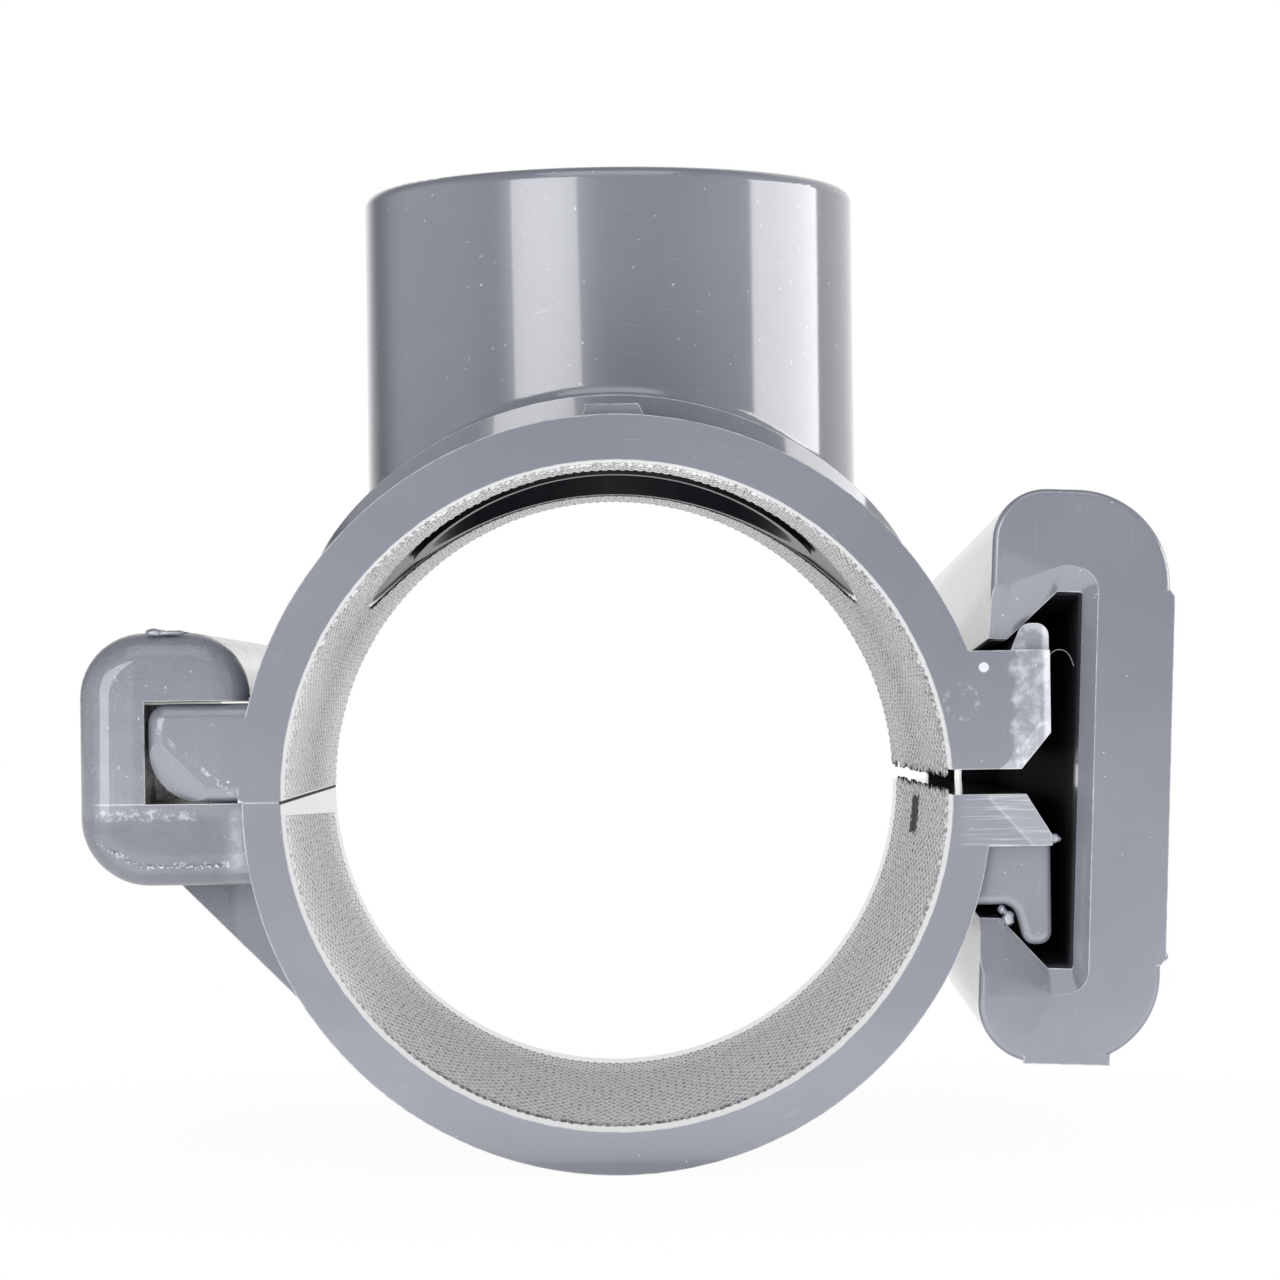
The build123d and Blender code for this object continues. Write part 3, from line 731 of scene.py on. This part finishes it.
def white_world():
    world = bpy.data.worlds.new("white room")
    bpy.context.scene.world = world
    world.use_nodes = True
    tree = Nodes(world.node_tree)
    heading = tree.node("ShaderNodeTexCoord").outputs["Generated"]
    x, y, z = tree.split(heading)
    path = tree.node("ShaderNodeLightPath")
    seen = Value(tree, path.outputs["Is Camera Ray"])
    white = seen + Value(tree, path.outputs["Is Transmission Ray"])
    glossy = Value(tree, path.outputs["Is Glossy Ray"])
    behind = (y + x * 0.45).ramp(0.45, 0.85, DARK_ROOM, 1.0)
    beside = x.ramp(0.4, 0.97, DARK_ROOM, 0.9)
    left = (x * -1.0).ramp(0.7, 0.98, DARK_ROOM, 0.8)
    below = z.ramp(-0.02, -0.12, DARK_ROOM, 1.0)
    room = behind.at_least(beside).at_least(below).at_least(left)
    other = 1.0 - (white + glossy).at_most(1.0)
    level = white.at_most(1.0) + glossy * room + other * WORLD_LIGHT
    tree.feed(tree.nodes["Background"].inputs["Strength"], level)
    tree.feed(tree.nodes["Background"].inputs["Color"], (1, 1, 1, 1))
    print("world with", len(tree.nodes), "nodes")


# %% [markdown]
# The floor mixes a matt surface, which keeps a little of the part's shadow, with a plain glow that
# hides its far edge. The glow grows with the distance from the part.

# %% Floor
FLOOR_GLOW = (0.965, 0.9995)
GLOW_FROM = 45.0
GLOW_TO = 100.0


def pale_floor(height):
    shape = bmesh.new()
    bmesh.ops.create_grid(shape, x_segments=1, y_segments=1, size=3.0)
    bmesh.ops.translate(shape, verts=shape.verts, vec=(0, 0, height))
    mesh = bpy.data.meshes.new("floor")
    shape.to_mesh(mesh)
    shape.free()
    floor = bpy.data.objects.new("floor", mesh)
    bpy.context.scene.collection.objects.link(floor)
    finish = Finish("pale floor")
    finish.set(Base_Color=(0.85, 0.85, 0.85, 1), Roughness=1.0, Specular_IOR_Level=0.0)
    path = finish.node("ShaderNodeLightPath")
    seen = Value(finish, path.outputs["Is Camera Ray"])
    for ray in ("Is Glossy Ray", "Is Transmission Ray"):
        seen = seen + Value(finish, path.outputs[ray])
    glow = finish.node("ShaderNodeEmission", None, {"Color": (1, 1, 1, 1), "Strength": 1.0})
    x, y, z = finish.split(finish.point)
    far = (x * x + y * y).root().ramp(GLOW_FROM, GLOW_TO, *FLOOR_GLOW)
    inputs = {0: seen * far, 1: finish.shader.outputs[0], 2: glow.outputs[0]}
    mixed = finish.node("ShaderNodeMixShader", None, inputs)
    finish.feed(finish.nodes["Material Output"].inputs["Surface"], mixed.outputs[0])
    mesh.materials.append(finish.material)


FLOOR_HEIGHT = CAD_BOX[0][2] - 0.0002
white_world()
pale_floor(FLOOR_HEIGHT)
print("floor at z", round(FLOOR_HEIGHT / MM, 2))

# %% [markdown]
# Two upright strip lights make the two pale bands on the branch: one in front on the left and one
# beside it on the right. Their bearings follow from where the bands lie on the round branch. A
# small card on the floor in front throws light up, so the lower parts are a little paler.


# %% Lights
def area_light(name, place, aim, width, height, power):
    lamp = bpy.data.lights.new(name, "AREA")
    lamp.shape = "RECTANGLE"
    lamp.size = width
    lamp.size_y = height
    lamp.energy = power
    light = bpy.data.objects.new(name, lamp)
    bpy.context.scene.collection.objects.link(light)
    light.location = place
    light.rotation_euler = (aim - place).to_track_quat("-Z", "Y").to_euler()
    light.visible_camera = False
    print(name, "is", width, "by", height, "m with", power, "W")
    return light


def softbox(name, bearing, climb, distance, width, height, power):
    """Area light at a bearing from the front, positive to the right, and a climb above level."""
    aim = Vector((0, 0, 0.012))
    turn = math.radians(bearing)
    lift = math.radians(climb)
    across = math.cos(lift)
    heading = Vector((math.sin(turn) * across, -math.cos(turn) * across, math.sin(lift)))
    return area_light(name, aim + heading * distance, aim, width, height, power)


softbox("left strip", -29.6, 4, distance=1.2, width=0.67, height=0.8, power=11.8)
softbox("right strip", 91.9, 4, distance=1.2, width=0.98, height=0.8, power=12.2)
softbox("overhead", 0, 57, distance=1.4, width=1.2, height=1.0, power=6.5)
CARD_AT = Vector((0, -0.13, FLOOR_HEIGHT + 0.001))
area_light("card", CARD_AT, CARD_AT + Vector((0, 0, 1)), width=0.3, height=0.17, power=0.2)

# %% [markdown]
# The photograph was taken level, straight into the bore, from near by: the far end of the bore is
# smaller than the near end by a factor of 1.206, which gives the distance. Pixels below are those of
# the photograph. The picture is rolled by less than a degree and its middle lies off the bore axis,
# so the camera is rolled and shifted too, not turned.

# %% Camera
FRAME_PX = 1280
SCALE_PX = 10.61
STANDOFF = 388.0
AXIS_PX = (602.8, 702.2)
CAMERA_AT = (-1.2, 8.85)
ROLL = math.radians(0.75)


def photo_camera():
    """Level camera in front of the bore, rolled and shifted as the photograph is."""
    data = bpy.data.cameras.new("camera")
    data.sensor_width = 36.0
    data.lens = SCALE_PX * STANDOFF / FRAME_PX * data.sensor_width
    data.shift_x = 0.5 - AXIS_PX[0] / FRAME_PX
    data.shift_y = AXIS_PX[1] / FRAME_PX - 0.5
    camera = bpy.data.objects.new("camera", data)
    bpy.context.scene.collection.objects.link(camera)
    front = NODES["upper_half"].bound_box[0][1]
    place = Vector((CAMERA_AT[0] * MM, front - STANDOFF * MM, CAMERA_AT[1] * MM))
    level = Matrix.Rotation(math.radians(90), 4, "X")
    camera.matrix_world = Matrix.Translation(place) @ Matrix.Rotation(ROLL, 4, "Y") @ level
    bpy.context.scene.camera = camera
    print("lens", round(data.lens, 1), "mm at", [round(part, 3) for part in place])


photo_camera()
bpy.context.scene.view_settings.view_transform = "Standard"
